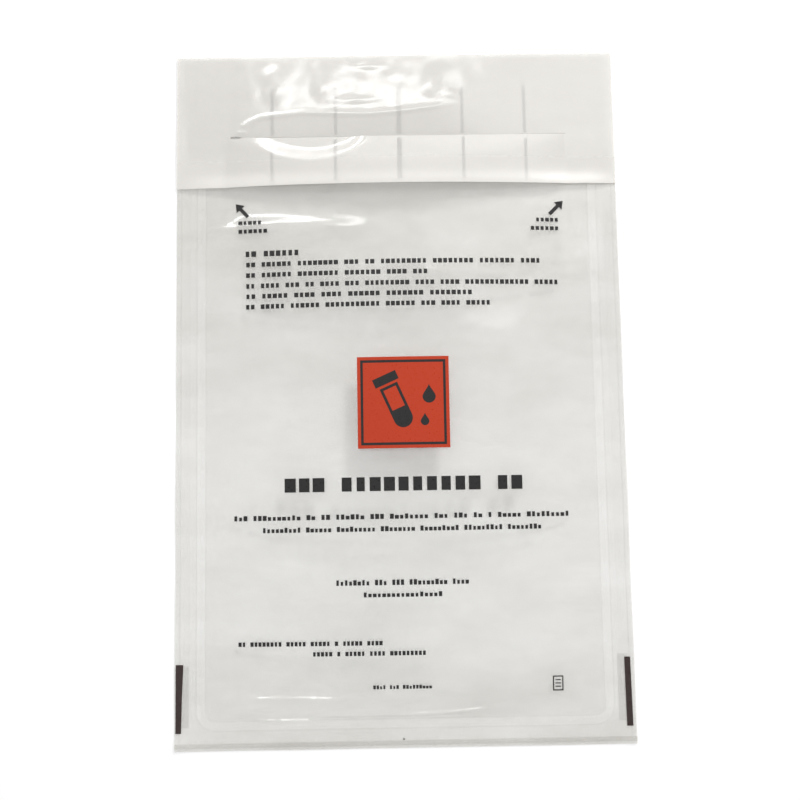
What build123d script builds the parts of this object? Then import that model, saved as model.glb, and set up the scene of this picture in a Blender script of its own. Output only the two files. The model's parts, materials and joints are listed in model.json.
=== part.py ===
from build123d import *
import os

# Specimen transport bag of A5 size: three clear films welded at the sides and the bottom.
# It lies on its back. +X is to the right, +Y is towards the top edge and +Z comes out of
# the front. The origin is the middle of the back, on the surface that the bag lies on.
# All sizes are in millimetres.

# Outline
bag_width = 180.0
bag_length = 280.0
film_thickness = 0.12

# Welds
side_weld_width = 12.0
bottom_weld_width = 12.0

# Slot and fold
slot_from_top = 34.5
slot_half_length = 70.0
fold_clearance = 0.2

# Specimen pocket, between the front film and the middle film
mouth_height = 5.3
pocket_height = 6.7
mouth_widening_length = 26.0
pocket_full_below_backing = 73.5
pocket_full_above_weld = 75.0
weld_steepness = 0.8

# Paper pocket, between the middle film and the back film
paper_gap = 0.4
paper_mouth_below_slot = 10.0

# Adhesive bands
adhesive_thickness = 0.08
adhesive_side_margin = 3.0
adhesive_edge_margin = 1.5

# Release backing
backing_thickness = 0.1
backing_below_slot = 21.5
backing_clearance = 0.15
folded_clearance = 1.7

# Smallest rise that a bulge runs out to, so that its edges stay arcs
flat_rise = 0.01

# Places that follow from the sizes above
half_width = bag_width / 2
top_y = bag_length / 2
bottom_y = -bag_length / 2
slot_y = top_y - slot_from_top
weld_y = bottom_y + bottom_weld_width
pocket_half_width = half_width - side_weld_width
backing_low_y = slot_y - backing_below_slot
paper_mouth_y = slot_y - paper_mouth_below_slot

# Heights of the layers where they lie flat
middle_z = film_thickness
front_z = middle_z + film_thickness
adhesive_z = front_z + film_thickness
backing_z = adhesive_z + adhesive_thickness + backing_clearance
flat_top_z = backing_z + backing_thickness

# The fold's axis lies above the films, so that the folded top clears the raised slot lip
raised_top_z = flat_top_z + mouth_height
fold_axis_z = (raised_top_z + folded_clearance + flat_top_z) / 2


def layer_wire(y, low_z, thickness, half_span, bulge_half, rise):
    """Section of one layer across the bag at y: flat margins and a bulge between them."""
    top_z = low_z + thickness
    corners = [
        (-half_span, y, low_z),
        (-bulge_half, y, low_z),
        (bulge_half, y, low_z),
        (half_span, y, low_z),
        (half_span, y, top_z),
        (bulge_half, y, top_z),
        (-bulge_half, y, top_z),
        (-half_span, y, top_z),
    ]
    edges = [
        Line(corners[0], corners[1]),
        ThreePointArc(corners[1], (0, y, low_z + rise), corners[2]),
        Line(corners[2], corners[3]),
        Line(corners[3], corners[4]),
        Line(corners[4], corners[5]),
        ThreePointArc(corners[5], (0, y, top_z + rise), corners[6]),
        Line(corners[6], corners[7]),
        Line(corners[7], corners[0]),
    ]
    return Wire([edge.edge() for edge in edges])


def straight_layer(low_y, high_y, low_z, thickness, half_span, bulge_half, rise):
    """A layer that keeps one section from low_y to high_y."""
    section = Face(layer_wire(low_y, low_z, thickness, half_span, bulge_half, rise))
    return extrude(section, amount=high_y - low_y, dir=(0, 1, 0))


def bulged_layer(stations, low_z, thickness, half_span):
    """A layer through stations of (y, bulge half width, rise)."""
    wires = [layer_wire(y, low_z, thickness, half_span, half, rise) for y, half, rise in stations]
    return Solid.make_loft(wires)


def plate(low_y, high_y, low_z, thickness, half_span):
    """A flat layer."""
    size = (2 * half_span, high_y - low_y, thickness)
    middle = (0, (low_y + high_y) / 2, low_z + thickness / 2)
    return Pos(*middle) * Box(*size)


def eased(share):
    """0 to 1 with a level start and a level end."""
    return share * share * (3 - 2 * share)


def pocket_rise(y):
    """Height of the front film's bulge over its welds, at y below the backing."""
    from_backing = (backing_low_y - y) / pocket_full_below_backing
    from_weld = (y - weld_y) / pocket_full_above_weld
    if from_backing < 1:
        return mouth_height + (pocket_height - mouth_height) * eased(from_backing)
    if from_weld > 1:
        return pocket_height
    return max(flat_rise, pocket_height * (1 - (1 - from_weld) ** 2) ** weld_steepness)


def bulge_half_width(y):
    """Half the width of the front film's bulge, which narrows to the slot's length."""
    share = min(1, (backing_low_y - y) / mouth_widening_length)
    return slot_half_length + (pocket_half_width - slot_half_length) * eased(share)


def front_film():
    lip = straight_layer(
        backing_low_y, slot_y, front_z, film_thickness, half_width, slot_half_length, mouth_height
    )
    below_backing = [
        0,
        mouth_widening_length / 2,
        mouth_widening_length,
        (mouth_widening_length + pocket_full_below_backing) / 2,
        pocket_full_below_backing,
    ]
    above_weld = [pocket_full_above_weld * share for share in (1, 0.6, 0.3, 0.12, 0)]
    places = [backing_low_y - d for d in below_backing] + [weld_y + d for d in above_weld]
    stations = [(y, bulge_half_width(y), pocket_rise(y)) for y in places]
    pocket = bulged_layer(stations, front_z, film_thickness, half_width)
    weld = straight_layer(
        bottom_y, weld_y, front_z, film_thickness, half_width, pocket_half_width, flat_rise
    )
    return lip + pocket + weld


def middle_film():
    middle_y = (slot_y + weld_y) / 2
    stations = [
        (slot_y, slot_half_length, flat_rise),
        (middle_y, slot_half_length, paper_gap),
        (weld_y, slot_half_length, flat_rise),
    ]
    wall = bulged_layer(stations, middle_z, film_thickness, half_width)
    weld = plate(bottom_y, weld_y, middle_z, film_thickness, half_width)
    return wall + weld


def back_film():
    return plate(bottom_y, paper_mouth_y, 0, film_thickness, half_width)


def middle_flap_film():
    return plate(slot_y + fold_clearance, top_y, middle_z, film_thickness, half_width)


def front_flap_film():
    return plate(slot_y + fold_clearance, top_y, front_z, film_thickness, half_width)


def adhesive_lower():
    low_y = backing_low_y + adhesive_edge_margin
    half_span = half_width - adhesive_side_margin
    return straight_layer(
        low_y, slot_y, adhesive_z, adhesive_thickness, half_span, slot_half_length, mouth_height
    )


def adhesive_upper():
    high_y = top_y - adhesive_edge_margin
    half_span = half_width - adhesive_side_margin
    return plate(slot_y + fold_clearance, high_y, adhesive_z, adhesive_thickness, half_span)


def liner_lower():
    return straight_layer(
        backing_low_y,
        slot_y,
        backing_z,
        backing_thickness,
        half_width,
        slot_half_length,
        mouth_height,
    )


def liner_upper():
    return plate(slot_y + fold_clearance, top_y, backing_z, backing_thickness, half_width)


pieces = {
    "front_film": front_film,
    "middle_film": middle_film,
    "back_film": back_film,
    "front_flap_film": front_flap_film,
    "middle_flap_film": middle_flap_film,
    "adhesive_lower": adhesive_lower,
    "adhesive_upper": adhesive_upper,
    "liner_lower": liner_lower,
    "liner_upper": liner_upper,
}

os.makedirs("parts", exist_ok=True)
for name, make in pieces.items():
    solid = make()
    solid.label = name
    export_step(solid, f"parts/{name}.step")
    print(name, round(solid.volume, 2), "mm3")

print("fold axis at y", round(slot_y, 3), "z", round(fold_axis_z, 3))
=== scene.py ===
"""Specimen transport bag: three clear films, two adhesive bands, a white backing and plain print."""

import json
import math

import bpy
import numpy as np
from bpy.props import FloatProperty, FloatVectorProperty, PointerProperty
from bpy.types import Operator, Panel, PropertyGroup
from mathutils import Matrix, Vector
from mathutils.bvhtree import BVHTree
from mathutils.geometry import delaunay_2d_cdt


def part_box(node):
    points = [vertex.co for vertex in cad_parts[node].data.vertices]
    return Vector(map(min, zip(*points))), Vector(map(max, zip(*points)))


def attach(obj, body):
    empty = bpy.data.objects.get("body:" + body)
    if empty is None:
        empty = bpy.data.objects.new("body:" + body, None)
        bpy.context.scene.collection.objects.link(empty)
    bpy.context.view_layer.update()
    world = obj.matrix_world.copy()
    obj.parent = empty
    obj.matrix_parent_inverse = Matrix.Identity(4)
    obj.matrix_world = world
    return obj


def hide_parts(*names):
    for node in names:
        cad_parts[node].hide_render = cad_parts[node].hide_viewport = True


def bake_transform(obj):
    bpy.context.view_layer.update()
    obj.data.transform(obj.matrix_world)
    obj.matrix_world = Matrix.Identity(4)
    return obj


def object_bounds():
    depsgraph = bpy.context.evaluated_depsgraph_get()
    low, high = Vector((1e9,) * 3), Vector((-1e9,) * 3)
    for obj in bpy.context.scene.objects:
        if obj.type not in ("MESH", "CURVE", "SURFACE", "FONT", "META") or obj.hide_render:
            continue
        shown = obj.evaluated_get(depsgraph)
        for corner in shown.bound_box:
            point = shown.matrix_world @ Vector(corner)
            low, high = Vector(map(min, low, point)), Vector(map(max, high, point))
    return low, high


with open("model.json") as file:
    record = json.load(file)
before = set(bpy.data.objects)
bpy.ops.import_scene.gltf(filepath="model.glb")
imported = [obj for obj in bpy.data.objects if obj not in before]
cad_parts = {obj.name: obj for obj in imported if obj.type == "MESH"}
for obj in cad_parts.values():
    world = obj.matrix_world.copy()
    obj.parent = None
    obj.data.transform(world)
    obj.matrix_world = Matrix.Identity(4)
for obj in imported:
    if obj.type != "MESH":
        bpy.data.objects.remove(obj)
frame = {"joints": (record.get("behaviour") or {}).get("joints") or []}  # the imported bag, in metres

bl_info = {
    "name": "Specimen Transport Bag",
    "version": (1, 0, 0),
    "blender": (4, 5, 0),
    "location": "View3D > Sidebar > Specimen Bag",
    "description": "Builds a flat specimen bag with its films, backing and print",
    "category": "Add Mesh",
}

MM = 0.001

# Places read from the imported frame
CAD_LOW, CAD_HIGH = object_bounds()
FRONT_LOW, FRONT_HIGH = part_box("front_film")
MIDDLE_LOW, MIDDLE_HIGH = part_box("middle_film")
BACK_LOW, BACK_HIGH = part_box("back_film")
FLAP_LOW, FLAP_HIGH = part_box("front_flap_film")
LINER_LOW, LINER_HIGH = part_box("liner_lower")
LINER_TOP_LOW, LINER_TOP_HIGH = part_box("liner_upper")
ADHESIVE_LOW, ADHESIVE_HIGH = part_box("adhesive_lower")
ADHESIVE_TOP_LOW, ADHESIVE_TOP_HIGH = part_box("adhesive_upper")
FOLD = next(j for j in frame["joints"] if j["name"] == "flap_fold")

HALF_WIDTH = FRONT_HIGH.x
TOP_Y = FLAP_HIGH.y
BOTTOM_Y = FRONT_LOW.y
SLOT_Y = FOLD["pos_m"][1]
BACKING_Y = LINER_LOW.y
FILM = BACK_HIGH.z - BACK_LOW.z
FRONT_Z = FLAP_LOW.z
MIDDLE_Z = MIDDLE_LOW.z
ADHESIVE_STEP = ADHESIVE_TOP_LOW.z - FRONT_Z
BACKING_STEP = LINER_TOP_LOW.z - FRONT_Z
MOUTH_RISE = LINER_HIGH.z - LINER_TOP_HIGH.z
POCKET_RISE = FRONT_HIGH.z - FLAP_HIGH.z


class FilmSettings(PropertyGroup):
    slot_half_length: FloatProperty(
        name="Half slot length", description="From the middle of the slot to its end",
        default=70 * MM, unit="LENGTH")
    side_weld: FloatProperty(
        name="Side weld", description="Width of the weld along each side",
        default=12 * MM, unit="LENGTH")
    bottom_weld: FloatProperty(
        name="Bottom weld", description="Width of the weld along the bottom",
        default=12 * MM, unit="LENGTH")
    grid: FloatProperty(
        name="Grid", description="Spacing of the front film's mesh lines",
        default=1.5 * MM, unit="LENGTH")
    color: FloatVectorProperty(
        name="Film colour", description="Colour of the slightly milky film",
        subtype="COLOR", size=3, default=(0.63, 0.61, 0.55))
    cover: FloatProperty(
        name="Cover", description="Share of what lies behind that one film hides",
        default=0.20, subtype="FACTOR")


class BackingSettings(PropertyGroup):
    color: FloatVectorProperty(
        name="Backing colour", description="Warm white of the release backing",
        subtype="COLOR", size=3, default=(0.955, 0.93, 0.888))
    cover: FloatProperty(
        name="Cover", description="Share of what lies behind that the backing hides",
        default=0.63, subtype="FACTOR")
    edge_lift: FloatProperty(
        name="Edge lift", description="How far the backing's free lower edge stands up",
        default=1.7 * MM, unit="LENGTH")


class PrintSettings(PropertyGroup):
    ink: FloatVectorProperty(
        name="Ink colour", description="Colour of the dark printed marks",
        subtype="COLOR", size=3, default=(0.012, 0.011, 0.011))
    square: FloatVectorProperty(
        name="Square colour", description="Colour of the printed square",
        subtype="COLOR", size=3, default=(0.49, 0.036, 0.005))
    square_side: FloatProperty(
        name="Square side", description="Side of the printed square",
        default=36.4 * MM, unit="LENGTH")


class StageSettings(PropertyGroup):
    lens: FloatProperty(
        name="Lens", description="Focal length of the camera, in millimetres", default=49.5)
    distance: FloatProperty(
        name="Camera distance", description="From the bag to the camera",
        default=442 * MM, unit="LENGTH")
    key: FloatProperty(
        name="Key light", description="Power of the low light beyond the top edge, in watts", default=12.8)
    window: FloatProperty(
        name="Window light", description="Power of the light that the film mirrors, in watts", default=0.46)
    side: FloatProperty(
        name="Side light", description="Power of the wide light that brightens the right side, in watts",
        default=0.3)
    left: FloatProperty(
        name="Left light", description="Power of the light that the raised lip and film mirror, in watts",
        default=1.1)
    fill: FloatProperty(
        name="Fill light", description="Strength of the white surroundings", default=0.60)
    floor_glow: FloatProperty(
        name="Floor glow", description="What the camera sees of the floor beyond its own light",
        default=0.27)


def eased(share):
    """0 to 1 with a level start and a level end, for a number or an array."""
    share = np.clip(share, 0.0, 1.0)
    return share * share * (3 - 2 * share)


def bump(distance, half_width):
    """1 at distance 0, easing to 0 at half_width on both sides."""
    return eased(1 - np.abs(distance) / half_width)


def along(points, x):
    """The y of a given line at x, and 0 to 1 to 0 along its length."""
    px = np.array([p[0] for p in points], float) * MM
    py = np.array([p[1] for p in points], float) * MM
    y = np.interp(x, px, py)
    share = (x - px[0]) / (px[-1] - px[0])
    return y, np.clip(share, 0, 1) * np.clip(1 - share, 0, 1) * 4


def line_distance(x, y, points):
    """How far each place is from a given line, and how far along it, 0 to 1, the nearest point is."""
    route = np.array(points, float) * MM
    steps = np.hypot(*np.diff(route, axis=0).T)
    reached = np.concatenate([[0], np.cumsum(steps)])
    nearest = np.full(x.shape, np.inf)
    share = np.zeros_like(x)
    for k, (start, end) in enumerate(zip(route, route[1:])):
        way = end - start
        part = np.clip(((x - start[0]) * way[0] + (y - start[1]) * way[1]) / (way @ way), 0, 1)
        away = np.hypot(x - start[0] - part * way[0], y - start[1] - part * way[1])
        closer = away < nearest
        nearest = np.where(closer, away, nearest)
        share = np.where(closer, (reached[k] + part * steps[k]) / reached[-1], share)
    return nearest, share


def crease(x, y, points, half_width, height):
    """A soft fold of the given height along a line that fades out at both ends."""
    nearest, share = line_distance(x, y, points)
    return height * MM * bump(nearest, half_width * MM) * np.sqrt(np.clip(4 * share * (1 - share), 0, 1))


def sharp_crease(x, y, points, half_width, height):
    """A fold with straight flanks that keeps its height nearly to its ends."""
    nearest, share = line_distance(x, y, points)
    return height * MM * np.clip(1 - nearest / (half_width * MM), 0, 1) * eased(10 * share * (1 - share))


def waves(x, y, wavelength, count, seed):
    """Gentle uneven ripples between -1 and 1."""
    draw = np.random.default_rng(seed)
    total = np.zeros_like(x)
    for _ in range(count):
        angle = draw.uniform(0, math.pi)
        phase = draw.uniform(0, 2 * math.pi)
        stretch = draw.uniform(0.7, 1.4)
        turn = 2 * math.pi / (wavelength * stretch)
        total += np.sin(turn * (x * math.cos(angle) + y * math.sin(angle)) + phase)
    return total / count


# The pocket's arch, as the solids have it: where it is full and how it narrows to the slot
FULL_BELOW_BACKING = 73.5 * MM
FULL_ABOVE_WELD = 75 * MM
WIDENING_LENGTH = 26 * MM
WELD_STEEPNESS = 0.8


def pocket_bulge(film, x, y):
    """The front film's rise over its welds."""
    half = HALF_WIDTH - film.side_weld
    weld_y = BOTTOM_Y + film.bottom_weld
    from_backing = (BACKING_Y - y) / FULL_BELOW_BACKING
    from_weld = np.clip((y - weld_y) / FULL_ABOVE_WELD, 0, 1)
    rise = MOUTH_RISE + (POCKET_RISE - MOUTH_RISE) * eased(from_backing)
    rise = rise * (1 - (1 - from_weld) ** 2) ** WELD_STEEPNESS
    widening = eased((BACKING_Y - y) / WIDENING_LENGTH)
    span = film.slot_half_length + (half - film.slot_half_length) * widening
    return rise * np.clip(1 - (x / span) ** 2, 0, None)


# Lines as (x, y) in millimetres on the flat bag: the ridge across the top and the lip's dent
FLAP_RIDGE = [
    (-64, 105.6), (-61, 111.4), (-55.6, 114), (-39, 115.8), (-12, 115), (2.5, 116),
    (15, 117.6), (27.5, 119.4), (45, 117.5), (60, 112.5), (72, 105.6),
]
LIP_DENT = [
    (-59.5, 105.4), (-54.8, 100.9), (-49.5, 97.6), (-43.3, 95.6), (-35.1, 94.2), (-26.8, 95),
    (-18.5, 98.6), (-12, 104.5),
]

# Creases of the front film, as (line, half width, height) in millimetres
FILM_CREASES = [
    ([(-82, 66.4), (-64, 68.0), (-48, 68.2), (-31, 67.2), (-12, 65.6)], 5.0, 0.51),
    ([(-79, 34.4), (-70, 35.6), (-60, 36)], 2.6, 0.28),
    ([(-39, 82.6), (-31, 81.8), (-27, 79.5)], 2.2, 0.36),
    ([(8, 47.2), (25, 47.8), (52, 46.8)], 3.0, 0.16),
    ([(63, -52), (59, -68), (57, -84), (58, -103), (61, -120)], 6.5, 0.8),
    ([(61, -98), (67, -123)], 4.0, 0.35),
    ([(-60.5, -101), (-61, -109), (-60.5, -116)], 2.6, 0.25),
    ([(20, 20), (36, 24), (52, 22)], 9.0, 0.35),
    ([(-66, 12), (-52, -8), (-58, -34)], 9.0, 0.30),
    ([(-30, -60), (-8, -66), (16, -62)], 8.0, 0.30),
]

# Sharp creases in the pocket's floor just above the bottom weld, likewise
SEAM_CREASES = [
    ([(-61.5, -124.6), (-59.5, -127.4), (-56, -128.7), (-45, -129.0), (-34, -129.0)], 1.1, 0.435),
    ([(-34, -127), (-18, -127.1), (-2, -127)], 1.0, 0.56),
    ([(-6, -127.1), (8, -126.9), (20, -126.4), (29, -125.6), (34, -124.6)], 1.1, 0.66),
    ([(-61.5, -120.6), (-50, -120.2), (-36, -120.6), (-24, -121.2)], 1.6, 0.83),
]

# Mesh rows that are close together where the sharp creases lie
SEAM_ROWS = [*np.arange(-130.4, -123.4, 0.25) * MM, *np.arange(-121.8, -117.4, 0.4) * MM]

# Share of the edge lift along the backing's lower edge, as (x in millimetres, share)
EDGE_LIFT = [(-90, 0), (-84, 0.35), (-76, 0.8), (-66, 1), (-48, 0.85), (-25, 0.5), (0, 0.35),
             (25, 0.32), (48, 0.34), (66, 0.68), (78, 0.66), (86, 0.32), (90, 0)]

# Low bumps on the top, as (x, y, half length, half width, height) in millimetres
FLAP_BUMPS = [
    (-48.5, 127, 7, 13, 0.34), (-29.5, 126.5, 6, 11, 0.30), (14.5, 128.5, 5.5, 10, 0.28),
    (-16.5, 121, 13, 2.4, 0.12), (-11, 135.4, 9, 2.2, 0.12), (0, 126, 7, 4, 0.10), (-14, 129, 4, 6, 0.10),
    (24, 123, 4, 3, 0.10),
]


def flap_relief(x, y):
    """Height of the top over its flat place: a ridge that falls to the slot and to the top edge."""
    ridge_y, _ = along(FLAP_RIDGE, x)
    inside = eased((x + 68 * MM) / (8 * MM)) * eased((48 * MM - x) / (34 * MM))
    up = np.clip((y - SLOT_Y) / np.maximum(ridge_y - SLOT_Y, 0.3 * MM), 0, 1)
    down = np.clip((TOP_Y - y) / (TOP_Y - ridge_y), 0, 1)
    height = 0.5 * MM * inside * np.minimum(up, down ** 0.8)
    crest = 0.20 * MM * bump(y - ridge_y, 2.0 * MM) * eased((24 * MM - x) / (14 * MM)) * (x > -64 * MM)
    ripple = 0.10 * MM * waves(x, y, 22 * MM, 8, 3) + 0.09 * MM * waves(x, y, 8 * MM, 8, 6)
    ripple = ripple * eased((y - ridge_y - 1 * MM) / (3 * MM))
    for bump_x, bump_y, half_x, half_y, top in FLAP_BUMPS:
        away = np.hypot((x / MM - bump_x) / half_x, (y / MM - bump_y) / half_y)
        height = height + top * MM * bump(away, 1)
    return height + crest + ripple * eased((HALF_WIDTH - np.abs(x)) / (14 * MM)) * inside


def lip_relief(x, y):
    """Height of the lower lip over its plain arch: a shallow dent under the slot, and a small crease."""
    edge_y, share = along(LIP_DENT, x)
    depth = np.clip((y - edge_y) / (6.6 * MM), 0, 1)
    dent = -0.8 * MM * (0.75 * depth + 0.25 * eased(depth)) * eased(4 * share)
    return dent + crease(x, y, [(-22.8, 86.4), (-20, 90), (-18, 91.6)], 1.3, 0.14)


def puckers(x, y):
    """Short gathers that run inwards from the welds."""
    draw = np.random.default_rng(21)
    relief = np.zeros_like(x)
    side_x, bottom_y = 77.5, (BOTTOM_Y / MM) + 11.5
    for k in range(64):
        side = -1 if k % 2 else 1
        start = draw.uniform(-122, 78)
        reach, half_width = draw.uniform(5, 17), draw.uniform(1.7, 2.6)
        end = (side * (side_x - reach), start + draw.uniform(-1.5, 1.5))
        line = [(side * (side_x + 3), start), end]
        relief += crease(x, y, line, half_width, draw.uniform(0.05, 0.17))
    for _ in range(20):
        start = draw.uniform(-72, 72)
        end = (start + draw.uniform(-2, 2), bottom_y + draw.uniform(3, 9))
        line = [(start, bottom_y - 2), end]
        relief += crease(x, y, line, draw.uniform(1.7, 2.6), draw.uniform(0.05, 0.15))
    return relief


def front_creases(x, y):
    """The creases and soft waves of the front film below the backing."""
    inside = eased((79 * MM - np.abs(x)) / (7 * MM)) * eased((y - BOTTOM_Y - 12 * MM) / (8 * MM))
    relief = 0.13 * MM * waves(x, y, 44 * MM, 9, 11) + 0.03 * MM * waves(x, 2.5 * y, 16 * MM, 9, 12)
    for points, half_width, height in FILM_CREASES:
        relief = relief + crease(x, y, points, half_width, height)
    relief = relief * inside + puckers(x, y)
    for points, half_width, height in SEAM_CREASES:
        relief = relief + sharp_crease(x, y, points, half_width, height)
    return relief


def edge_curl(x, y):
    """Lift of the free outer edges, which wave a little."""
    free = 3.2 * MM
    along_bottom = 1 + 0.5 * waves(x, y * 0, 55 * MM, 4, 8)
    bottom = 0.55 * MM * bump(y - BOTTOM_Y - free, free) * along_bottom
    side = eased((np.abs(x) - HALF_WIDTH + 6 * MM) / (6 * MM)) * eased((TOP_Y - 12 * MM - y) / (30 * MM))
    return bottom + side * 0.28 * MM * (1 + waves(x * 0, y, 40 * MM, 5, 5))


def lip_recess(film, x, y):
    """How far the arched lip's edge draws back from the slot, as its arch takes up film."""
    share = np.clip(1 - (x / film.slot_half_length) ** 2, 0, 1)
    return 1.7 * MM * share * eased((y - SLOT_Y + 12 * MM) / (12 * MM))


def outline_shift(x, y, inset, seed):
    """Draws the outer edges in by inset, along a slow wave."""
    side = eased((np.abs(x) - HALF_WIDTH + 5 * MM) / (5 * MM))
    wave = 0.2 * MM * waves(x * 0 + seed * 0.05, y, 60 * MM, 4, seed)
    bottom = eased((BOTTOM_Y + 5 * MM - y) / (5 * MM))
    rise = 0.15 * MM * waves(x, y * 0, 50 * MM, 4, seed + 1)
    return -np.sign(x) * side * (inset + wave), bottom * (inset * 0.6 + rise)


def front_height(film, x, y, above):
    """The front film's underside."""
    near = eased((BACKING_Y + 2 * MM - y) / (8 * MM)) * eased((y - BACKING_Y + 62 * MM) / (54 * MM))
    dip = -1.2 * MM * near * eased((HALF_WIDTH - 10 * MM - np.abs(x)) / (14 * MM))
    creases = front_creases(x, y) * eased((BACKING_Y + 1 * MM - y) / (3 * MM))
    lower = np.maximum(pocket_bulge(film, x, y) + lip_relief(x, y) + dip + creases, 0)
    return FRONT_Z + np.where(above, flap_relief(x, y), lower) + edge_curl(x, y)


def front_place(film, inset, seed):
    """The front film, or what follows it, as a function of the flat place."""
    def place(x, y, above):
        shift_x, shift_y = outline_shift(x, y, inset, seed)
        recess = np.where(above, 0, lip_recess(film, x, y))
        return x + shift_x, y + shift_y - recess, front_height(film, x, y, above)
    return place


def middle_place(film, inset, seed):
    """The middle film, which bows a little over the paper pocket."""
    middle_y = (SLOT_Y + BOTTOM_Y + film.bottom_weld) / 2
    reach = SLOT_Y - middle_y

    def place(x, y, above):
        shift_x, shift_y = outline_shift(x, y, inset, seed)
        gap = (MIDDLE_HIGH.z - MIDDLE_Z - FILM) * np.clip(1 - (x / film.slot_half_length) ** 2, 0, None)
        gap = gap * np.clip(1 - ((y - middle_y) / reach) ** 2, 0, None)
        z = MIDDLE_Z + np.where(above, flap_relief(x, y), gap) + edge_curl(x, y)
        return x + shift_x, y + shift_y, z
    return place


def back_place(inset, seed):
    """The back film, flat on the bench."""
    def place(x, y, above):
        shift_x, shift_y = outline_shift(x, y, inset, seed)
        return x + shift_x, y + shift_y, BACK_LOW.z - 0.02 * MM + edge_curl(x, y)
    return place


def raised(place, step):
    """The same place, step higher."""
    def higher(x, y, above):
        px, py, pz = place(x, y, above)
        return px, py, pz + step
    return higher


def backing_place(film, lift):
    """The backing follows the film's arch and stands up a little along its free lower edge."""
    follow = front_place(film, -0.1 * MM, 4)

    def place(x, y, above):
        px, py, _ = follow(x, y, above)
        z = front_height(film, x, np.maximum(y, BACKING_Y + 1.2 * MM), above)
        free = eased((BACKING_Y + 8 * MM - y) / (8 * MM))
        share = np.interp(x / MM, *zip(*EDGE_LIFT))
        return px, py, z + BACKING_STEP + lift * share * free ** 2
    return place


# Close mesh rows within this distance of the slot, where the flap folds, the same in all sheets
BEND_ROWS = [SLOT_Y + i * 0.25 * MM for i in range(-11, 12)]


def bends(obj):
    """Bakes the piece's transform into its mesh, at rest."""
    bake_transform(obj)


def slot_ends(film):
    """The x of the slot's two ends."""
    return (-film.slot_half_length, film.slot_half_length)


def lines_between(low, high, step, extra=()):
    """Mesh lines from low to high about step apart, with the extra places among them."""
    plain = np.linspace(low, high, max(2, round((high - low) / step) + 1))
    kept = [v for v in plain if all(abs(v - e) > 0.35 * step for e in extra)]
    return np.array(sorted(set(kept) | {e for e in extra if low <= e <= high} | {low, high}))


def new_object(name, vertices, faces, uvs=None):
    """A smooth-shaded mesh object with sharp rims. The uvs hold each vertex's place on the flat bag."""
    mesh = bpy.data.meshes.new(name)
    mesh.from_pydata(np.asarray(vertices).tolist(), [], faces)
    if uvs is not None:
        layer = mesh.uv_layers.new(name="flat")
        corner = np.zeros(len(mesh.loops), np.int32)
        mesh.loops.foreach_get("vertex_index", corner)
        layer.data.foreach_set("uv", np.asarray(uvs, np.float32)[corner].ravel())
    mesh.polygons.foreach_set("use_smooth", np.ones(len(mesh.polygons), bool))
    mesh.set_sharp_from_angle(angle=math.radians(50))
    mesh.update()
    made = bpy.data.objects.new(name, mesh)
    bpy.context.scene.collection.objects.link(made)
    return made


def shell(name, points, faces, thickness, flat=None):
    """A closed sheet from a one-sided one: its copy above, turned faces below, walls round each edge."""
    points = np.asarray(points, float)
    count = len(points)
    upper = points + np.array([0, 0, thickness])
    edges = dict.fromkeys((a, b) for face in faces for a, b in zip(face, face[1:] + face[:1]))
    walls = [(a, b, b + count, a + count) for a, b in edges if (b, a) not in edges]
    bottom = [tuple(reversed(face)) for face in faces]
    top = [tuple(i + count for i in face) for face in faces]
    flat = points[:, :2] if flat is None else flat
    flat = flat / np.array([2 * HALF_WIDTH, TOP_Y - BOTTOM_Y]) + 0.5
    vertices, uvs = np.vstack([points, upper]), np.vstack([flat, flat])
    return new_object(name, vertices, bottom + top + walls, uvs)


def sheet_mesh(name, xs, ys, place, thickness, slot=None):
    """A closed sheet over the grid xs by ys, cut along SLOT_Y between the two x of slot."""
    columns, rows = len(xs), len(ys)
    grid_x, grid_y = np.meshgrid(xs, ys)
    x, y = grid_x.ravel(), grid_y.ravel()
    points = np.stack(place(x, y, y > SLOT_Y + 1e-6), 1)
    flat = np.stack([x, y], 1)
    index = np.arange(rows * columns).reshape(rows, columns)
    above_index = index.copy()
    if slot:
        row = int(np.argmin(np.abs(ys - SLOT_Y)))
        cut = [i for i, v in enumerate(xs) if slot[0] + 1e-6 < v < slot[1] - 1e-6]
        lip = flat[index[row, cut]]
        upper = np.stack(place(lip[:, 0], lip[:, 1], np.ones(len(cut), bool)), 1)
        above_index[row, cut] = len(points) + np.arange(len(cut))
        points, flat = np.vstack([points, upper]), np.vstack([flat, lip])
    faces = []
    for j in range(rows - 1):
        low = above_index if slot and abs(ys[j] - SLOT_Y) < 1e-6 else index
        for i in range(columns - 1):
            corners = low[j, i], low[j, i + 1], index[j + 1, i + 1], index[j + 1, i]
            faces.append(tuple(int(corner) for corner in corners))
    return shell(name, points, faces, thickness, flat)


def group(name, inputs, outputs):
    """A new shader group of the given inputs, with their values, and outputs. Place is a vector."""
    made = bpy.data.node_groups.new(name, "ShaderNodeTree")
    for in_out, labels in (("INPUT", inputs), ("OUTPUT", outputs)):
        for label in labels:
            kind = "NodeSocketVector" if label == "Place" else "NodeSocketFloat"
            socket = made.interface.new_socket(label, in_out=in_out, socket_type=kind)
            if in_out == "INPUT" and label != "Place":
                socket.default_value = inputs[label]
    return made, made.nodes.new("NodeGroupInput"), made.nodes.new("NodeGroupOutput")


def math_node(tree, operation, *values, clamp=False):
    """One Math node. Each value is a number or another node's output."""
    node = tree.nodes.new("ShaderNodeMath")
    node.operation = operation
    node.use_clamp = clamp
    for socket, value in zip(node.inputs, values):
        if isinstance(value, bpy.types.NodeSocket):
            tree.links.new(value, socket)
        else:
            socket.default_value = value
    return node.outputs[0]


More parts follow.
